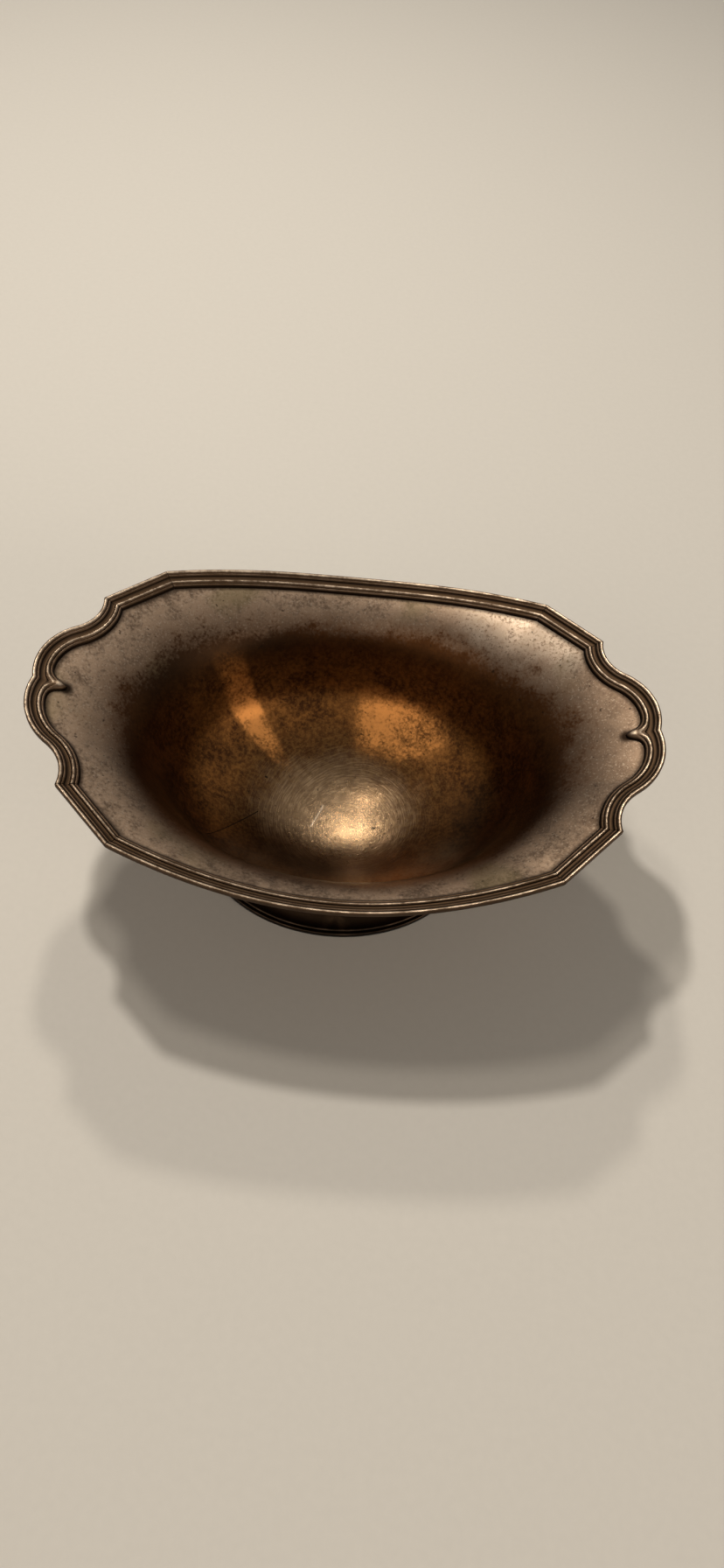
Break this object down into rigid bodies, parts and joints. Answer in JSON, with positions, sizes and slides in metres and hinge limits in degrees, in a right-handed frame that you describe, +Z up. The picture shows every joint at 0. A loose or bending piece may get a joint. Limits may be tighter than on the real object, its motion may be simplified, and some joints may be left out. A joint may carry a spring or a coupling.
{
  "type": "footed oval bowl",
  "caption": "Oval serving bowl on a low foot, with a shaped reeded rim that sweeps up to a curled point at each end.",
  "frame": {"origin": "on the table under the middle of the bowl, at the bottom centre of its box", "axes": "+X along the bowl, +Y across it, +Z up out of its mouth"},
  "size_m": [0.3048, 0.2094, 0.118],
  "materials": {
    "body": "worn silver plate over copper, brown tarnish, semi-gloss",
    "rim_mount": "worn silver plate, dark in the grooves and bright on the reeds",
    "foot": "blackened silver plate, satin"
  },
  "bodies": {
    "root": {"bowl_body": "body", "rim_side_front": "rim_mount", "rim_side_back": "rim_mount", "rim_corner_front_left": "rim_mount", "rim_corner_front_right": "rim_mount", "rim_corner_back_left": "rim_mount", "rim_corner_back_right": "rim_mount", "rim_scroll_front_left": "rim_mount", "rim_scroll_front_right": "rim_mount", "rim_scroll_back_left": "rim_mount", "rim_scroll_back_right": "rim_mount", "foot_skirt": "foot", "foot_base_wire": "foot"}
  },
  "joints": []
}
